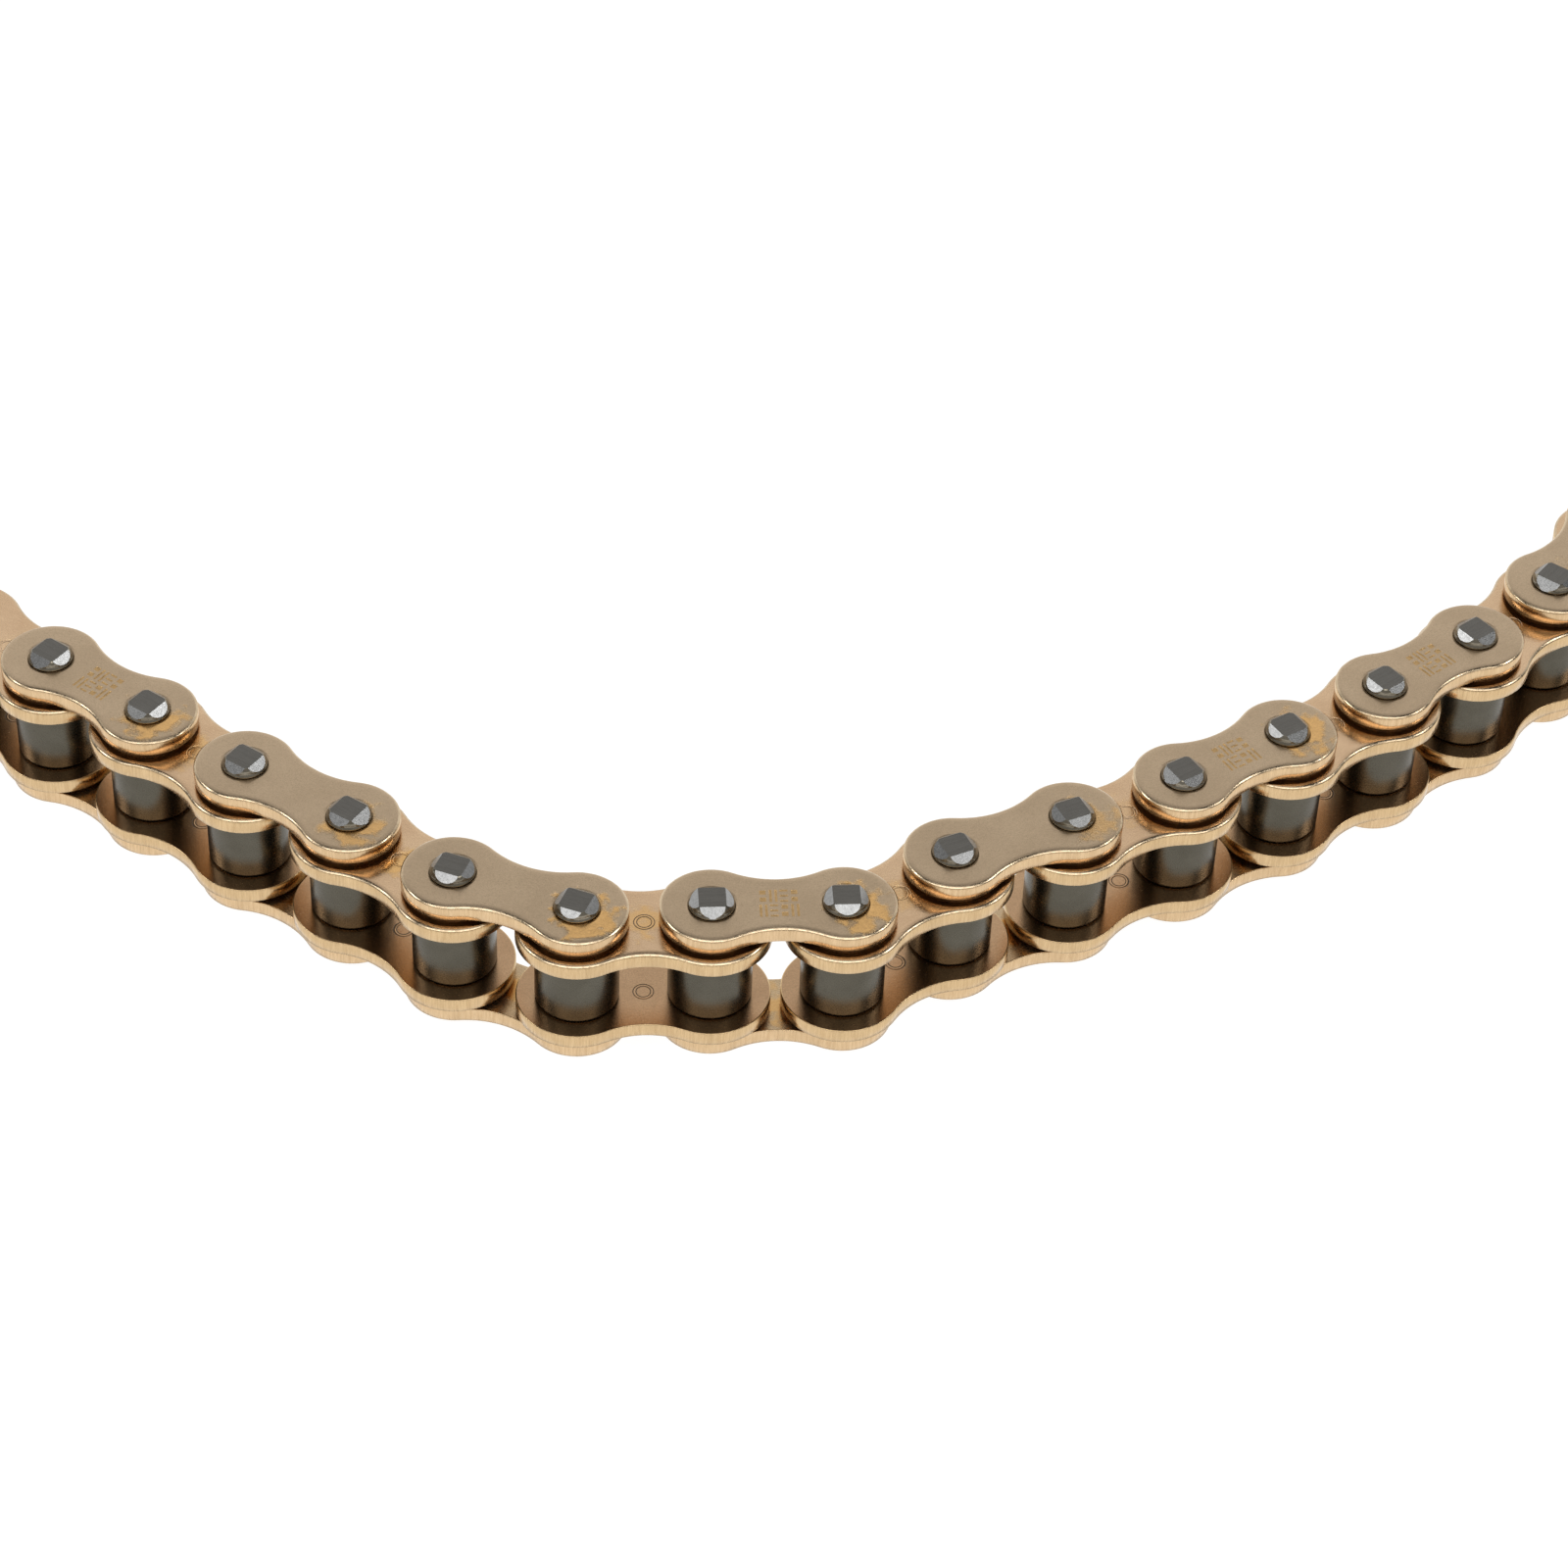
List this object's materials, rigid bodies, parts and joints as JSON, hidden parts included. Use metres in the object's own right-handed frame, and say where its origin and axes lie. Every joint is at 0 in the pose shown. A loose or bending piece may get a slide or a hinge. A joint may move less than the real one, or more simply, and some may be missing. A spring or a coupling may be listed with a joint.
{
  "type": "drive chain",
  "caption": "Sealed roller drive chain section for a motorcycle, lying on its side in a wide bend, with gold plates, dark rollers and staked pins.",
  "frame": {"origin": "centre of the section's footprint, on the surface that the lower pin ends rest on", "axes": "+Z along the pins, up; +X along the section's length, from its left end to its right end; +Y towards the side where both ends lie"},
  "size_m": [0.2334, 0.1086, 0.0215],
  "materials": {
    "gold_plate": "satin gold plated steel, fine brushed faces and sheared edges",
    "gold_inner_plate": "smooth gold plated steel, a little redder",
    "pin_steel": "dark hardened steel, ground end and staked facets",
    "bush_steel": "ground steel",
    "roller_steel": "satin gunmetal steel",
    "seal_rubber": "greased nitrile rubber"
  },
  "bodies": {
    "inner_link_1": {"inner_plates_and_bushes_1": "gold_inner_plate"},
    "outer_link_1": {"outer_plate_top_1": "gold_plate", "pin_plate_1": "gold_plate"},
    "inner_link_2": {"inner_plates_and_bushes_2": "gold_inner_plate"},
    "outer_link_2": {"outer_plate_top_2": "gold_plate", "outer_plate_bottom_2": "gold_plate", "pin_03": "pin_steel", "pin_04": "pin_steel"},
    "inner_link_3": {"inner_plates_and_bushes_3": "gold_inner_plate"},
    "outer_link_3": {"outer_plate_top_3": "gold_plate", "outer_plate_bottom_3": "gold_plate", "pin_05": "pin_steel", "pin_06": "pin_steel"},
    "inner_link_4": {"inner_plate_bottom_4": "gold_inner_plate", "inner_plate_top_4": "gold_inner_plate", "bush_06": "bush_steel", "bush_07": "bush_steel"},
    "outer_link_4": {"outer_plate_top_4": "gold_plate", "outer_plate_bottom_4": "gold_plate", "pin_07": "pin_steel", "pin_08": "pin_steel", "x_ring_seal_bottom_07": "seal_rubber", "x_ring_seal_top_07": "seal_rubber", "x_ring_seal_bottom_08": "seal_rubber", "x_ring_seal_top_08": "seal_rubber"},
    "inner_link_5": {"inner_plates_and_bushes_5": "gold_inner_plate"},
    "outer_link_5": {"outer_plate_top_5": "gold_plate", "outer_plate_bottom_5": "gold_plate", "pin_09": "pin_steel", "pin_10": "pin_steel"},
    "inner_link_6": {"inner_plates_and_bushes_6": "gold_inner_plate"},
    "outer_link_6": {"outer_plate_top_6": "gold_plate", "outer_plate_bottom_6": "gold_plate", "pin_11": "pin_steel", "pin_12": "pin_steel"},
    "inner_link_7": {"inner_plates_and_bushes_7": "gold_inner_plate"},
    "outer_link_7": {"outer_plate_top_7": "gold_plate", "pin_plate_7": "gold_plate"},
    "inner_link_8": {"inner_plates_and_bushes_8": "gold_inner_plate"},
    "outer_link_8": {"outer_plate_top_8": "gold_plate", "pin_plate_8": "gold_plate"},
    "inner_link_9": {"inner_plates_and_bushes_9": "gold_inner_plate"},
    "roller_00": {"roller_00": "roller_steel"},
    "roller_01": {"roller_01": "roller_steel"},
    "roller_02": {"roller_02": "roller_steel"},
    "roller_03": {"roller_03": "roller_steel"},
    "roller_04": {"roller_04": "roller_steel"},
    "roller_05": {"roller_05": "roller_steel"},
    "roller_06": {"roller_06": "roller_steel"},
    "roller_07": {"roller_07": "roller_steel"},
    "roller_08": {"roller_08": "roller_steel"},
    "roller_09": {"roller_09": "roller_steel"},
    "roller_10": {"roller_10": "roller_steel"},
    "roller_11": {"roller_11": "roller_steel"},
    "roller_12": {"roller_12": "roller_steel"},
    "roller_13": {"roller_13": "roller_steel"},
    "roller_14": {"roller_14": "roller_steel"},
    "roller_15": {"roller_15": "roller_steel"},
    "roller_16": {"roller_16": "roller_steel"},
    "roller_17": {"roller_17": "roller_steel"}
  },
  "joints": [
    {"name": "pin_joint_08", "type": "hinge", "parent": "outer_link_4", "child": "inner_link_5", "pos_m": [0.00265, -0.04427, 0.01075], "axis": [0, 0, 1], "range_deg": [-131, 69]},
    {"name": "pin_joint_09", "type": "hinge", "parent": "inner_link_5", "child": "outer_link_5", "pos_m": [0.01549, -0.03493, 0.01075], "axis": [0, 0, -1], "range_deg": [-109, 91]},
    {"name": "pin_joint_10", "type": "hinge", "parent": "outer_link_5", "child": "inner_link_6", "pos_m": [0.02964, -0.02773, 0.01075], "axis": [0, 0, 1], "range_deg": [-103, 97]},
    {"name": "pin_joint_11", "type": "hinge", "parent": "inner_link_6", "child": "outer_link_6", "pos_m": [0.04339, -0.01979, 0.01075], "axis": [0, 0, -1], "range_deg": [-96, 104]},
    {"name": "pin_joint_12", "type": "hinge", "parent": "outer_link_6", "child": "inner_link_7", "pos_m": [0.05655, -0.01091, 0.01075], "axis": [0, 0, 1], "range_deg": [-103, 97]},
    {"name": "pin_joint_13", "type": "hinge", "parent": "inner_link_7", "child": "outer_link_7", "pos_m": [0.06923, -0.00136, 0.01075], "axis": [0, 0, -1], "range_deg": [-97, 103]},
    {"name": "pin_joint_14", "type": "hinge", "parent": "outer_link_7", "child": "inner_link_8", "pos_m": [0.08139, 0.00885, 0.01075], "axis": [0, 0, 1], "range_deg": [-106, 94]},
    {"name": "pin_joint_15", "type": "hinge", "parent": "inner_link_8", "child": "outer_link_8", "pos_m": [0.09242, 0.02026, 0.01075], "axis": [0, 0, -1], "range_deg": [-91, 109]},
    {"name": "pin_joint_16", "type": "hinge", "parent": "outer_link_8", "child": "inner_link_9", "pos_m": [0.10152, 0.03327, 0.01075], "axis": [0, 0, 1], "range_deg": [-105, 95]},
    {"name": "pin_joint_07", "type": "hinge", "parent": "outer_link_4", "child": "inner_link_4", "pos_m": [-0.01316, -0.04565, 0.01075], "axis": [0, 0, 1], "range_deg": [-100, 100]},
    {"name": "pin_joint_06", "type": "hinge", "parent": "inner_link_4", "child": "outer_link_3", "pos_m": [-0.02898, -0.04703, 0.01075], "axis": [0, 0, -1], "range_deg": [-124, 76]},
    {"name": "pin_joint_05", "type": "hinge", "parent": "outer_link_3", "child": "inner_link_3", "pos_m": [-0.04399, -0.04186, 0.01075], "axis": [0, 0, 1], "range_deg": [-85, 115]},
    {"name": "pin_joint_04", "type": "hinge", "parent": "inner_link_3", "child": "outer_link_2", "pos_m": [-0.05715, -0.03299, 0.01075], "axis": [0, 0, -1], "range_deg": [-98, 102]},
    {"name": "pin_joint_03", "type": "hinge", "parent": "outer_link_2", "child": "inner_link_2", "pos_m": [-0.07061, -0.02457, 0.01075], "axis": [0, 0, 1], "range_deg": [-97, 103]},
    {"name": "pin_joint_02", "type": "hinge", "parent": "inner_link_2", "child": "outer_link_1", "pos_m": [-0.08362, -0.01547, 0.01075], "axis": [0, 0, -1], "range_deg": [-99, 101]},
    {"name": "pin_joint_01", "type": "hinge", "parent": "outer_link_1", "child": "inner_link_1", "pos_m": [-0.09678, -0.00659, 0.01075], "axis": [0, 0, 1], "range_deg": [-97, 103]},
    {"name": "roller_spin_00", "type": "hinge", "parent": "inner_link_1", "child": "roller_00", "pos_m": [-0.10945, 0.00296, 0.01075], "axis": [0, 0, 1], "continuous": true},
    {"name": "roller_spin_01", "type": "hinge", "parent": "inner_link_1", "child": "roller_01", "pos_m": [-0.09678, -0.00659, 0.01075], "axis": [0, 0, 1], "continuous": true},
    {"name": "roller_spin_02", "type": "hinge", "parent": "inner_link_2", "child": "roller_02", "pos_m": [-0.08362, -0.01547, 0.01075], "axis": [0, 0, 1], "continuous": true},
    {"name": "roller_spin_03", "type": "hinge", "parent": "inner_link_2", "child": "roller_03", "pos_m": [-0.07061, -0.02457, 0.01075], "axis": [0, 0, 1], "continuous": true},
    {"name": "roller_spin_04", "type": "hinge", "parent": "inner_link_3", "child": "roller_04", "pos_m": [-0.05715, -0.03299, 0.01075], "axis": [0, 0, 1], "continuous": true},
    {"name": "roller_spin_05", "type": "hinge", "parent": "inner_link_3", "child": "roller_05", "pos_m": [-0.04399, -0.04186, 0.01075], "axis": [0, 0, 1], "continuous": true},
    {"name": "roller_spin_06", "type": "hinge", "parent": "inner_link_4", "child": "roller_06", "pos_m": [-0.02898, -0.04703, 0.01075], "axis": [0, 0, 1], "continuous": true},
    {"name": "roller_spin_07", "type": "hinge", "parent": "inner_link_4", "child": "roller_07", "pos_m": [-0.01316, -0.04565, 0.01075], "axis": [0, 0, 1], "continuous": true},
    {"name": "roller_spin_08", "type": "hinge", "parent": "inner_link_5", "child": "roller_08", "pos_m": [0.00265, -0.04427, 0.01075], "axis": [0, 0, 1], "continuous": true},
    {"name": "roller_spin_09", "type": "hinge", "parent": "inner_link_5", "child": "roller_09", "pos_m": [0.01549, -0.03493, 0.01075], "axis": [0, 0, 1], "continuous": true},
    {"name": "roller_spin_10", "type": "hinge", "parent": "inner_link_6", "child": "roller_10", "pos_m": [0.02964, -0.02773, 0.01075], "axis": [0, 0, 1], "continuous": true},
    {"name": "roller_spin_11", "type": "hinge", "parent": "inner_link_6", "child": "roller_11", "pos_m": [0.04339, -0.01979, 0.01075], "axis": [0, 0, 1], "continuous": true},
    {"name": "roller_spin_12", "type": "hinge", "parent": "inner_link_7", "child": "roller_12", "pos_m": [0.05655, -0.01091, 0.01075], "axis": [0, 0, 1], "continuous": true},
    {"name": "roller_spin_13", "type": "hinge", "parent": "inner_link_7", "child": "roller_13", "pos_m": [0.06923, -0.00136, 0.01075], "axis": [0, 0, 1], "continuous": true},
    {"name": "roller_spin_14", "type": "hinge", "parent": "inner_link_8", "child": "roller_14", "pos_m": [0.08139, 0.00885, 0.01075], "axis": [0, 0, 1], "continuous": true},
    {"name": "roller_spin_15", "type": "hinge", "parent": "inner_link_8", "child": "roller_15", "pos_m": [0.09242, 0.02026, 0.01075], "axis": [0, 0, 1], "continuous": true},
    {"name": "roller_spin_16", "type": "hinge", "parent": "inner_link_9", "child": "roller_16", "pos_m": [0.10152, 0.03327, 0.01075], "axis": [0, 0, 1], "continuous": true},
    {"name": "roller_spin_17", "type": "hinge", "parent": "inner_link_9", "child": "roller_17", "pos_m": [0.10946, 0.04702, 0.01075], "axis": [0, 0, 1], "continuous": true}
  ]
}
